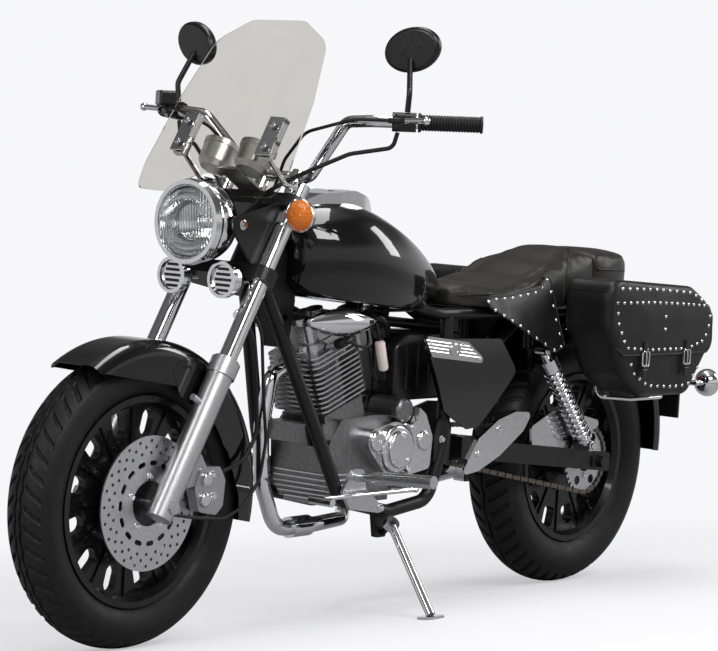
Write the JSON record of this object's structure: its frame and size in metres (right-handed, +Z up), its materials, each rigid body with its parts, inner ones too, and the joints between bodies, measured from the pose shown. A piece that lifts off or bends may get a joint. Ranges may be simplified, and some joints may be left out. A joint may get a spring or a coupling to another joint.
{
  "type": "light cruiser motorcycle",
  "caption": "Light cruiser motorcycle with windscreen, leather saddlebags and cast wheels, parked leaning on its side stand; steering, wheels, stand and bag lids move",
  "frame": {"origin": "bottom centre of the bounding box, on the ground under the parked motorcycle", "axes": "+X forward, +Y to the rider's left, +Z up; the motorcycle leans 7 degrees to its left"},
  "size_m": [2.2722, 0.9028, 1.3179],
  "materials": {
    "alloy": "satin",
    "amber": "clear",
    "black_plastic": "matte",
    "chrome": "polished",
    "clear": "clear",
    "gloss_black": "gloss",
    "leather": "satin",
    "red_lens": "clear",
    "rubber": "matte",
    "satin_black": "satin",
    "steel": "satin",
    "tyre": "matte"
  },
  "bodies": {
    "chassis": {"drive_chain": "steel", "swingarm": "satin_black", "shock_absorbers": "chrome", "engine_case": "alloy", "cylinder": "alloy", "engine_covers": "alloy", "carburettor": "alloy", "intake_covers": "chrome", "exhaust": "chrome", "fuel_tank": "gloss_black", "tank_console": "chrome", "seat": "leather", "pillion_seat": "leather", "seat_skirts": "leather", "rear_fender": "gloss_black", "tail_light": "red_lens", "plate_holder": "satin_black", "rear_signals": "chrome", "rear_signal_lenses": "amber", "side_covers": "gloss_black", "side_trims": "alloy", "saddlebag_left": "leather", "saddlebag_right": "leather", "bag_rails": "chrome", "chain_guards": "alloy", "footpegs": "alloy", "foot_controls": "chrome", "frame": "satin_black"},
    "steering": {"fork_tubes": "chrome", "fork_sliders": "alloy", "yokes": "satin_black", "headlight": "chrome", "headlight_lens": "clear", "gauges": "alloy", "handlebar": "chrome", "grips": "rubber", "mirrors": "black_plastic", "windscreen": "clear", "screen_brackets": "chrome", "front_fender": "gloss_black", "front_signals": "chrome", "front_signal_lenses": "amber", "horns": "chrome", "brake_caliper": "alloy", "brake_hose": "rubber", "control_cables": "rubber", "hand_controls": "black_plastic", "hand_levers": "chrome"},
    "front_wheel": {"front_tyre": "tyre", "front_rim": "gloss_black", "front_disc": "steel"},
    "rear_wheel": {"rear_tyre": "tyre", "rear_rim": "gloss_black", "rear_sprocket": "steel"},
    "side_stand": {"side_stand": "chrome"},
    "bag_lid_left": {"bag_lid_left": "leather"},
    "bag_lid_right": {"bag_lid_right": "leather"}
  },
  "joints": [
    {"name": "steering", "type": "hinge", "parent": "chassis", "child": "steering", "pos_m": [0.49431, -0.03451, 0.80505], "axis": [-0.5, 0.1055, 0.8596], "range_deg": [-38, 38]},
    {"name": "front_wheel_spin", "type": "hinge", "parent": "steering", "child": "front_wheel", "pos_m": [0.83408, -0.09648, 0.30034], "axis": [0, 0.9925, -0.1219], "continuous": true},
    {"name": "rear_wheel_spin", "type": "hinge", "parent": "chassis", "child": "rear_wheel", "pos_m": [-0.68569, -0.09574, 0.3063], "axis": [0, 0.9925, -0.1219], "continuous": true},
    {"name": "side_stand_fold", "type": "hinge", "parent": "chassis", "child": "side_stand", "pos_m": [0.12931, 0.02505, 0.19878], "axis": [0.1706, 0.8189, 0.548], "range_deg": [0, 94.8]},
    {"name": "bag_lid_left_hinge", "type": "hinge", "parent": "chassis", "child": "bag_lid_left", "pos_m": [-0.68569, 0.10685, 0.72544], "axis": [0.9984, 0.0068, 0.0554], "range_deg": [0, 75]},
    {"name": "bag_lid_right_hinge", "type": "hinge", "parent": "chassis", "child": "bag_lid_right", "pos_m": [-0.68569, -0.19092, 0.762], "axis": [-0.9984, -0.0068, -0.0554], "range_deg": [0, 75]}
  ]
}
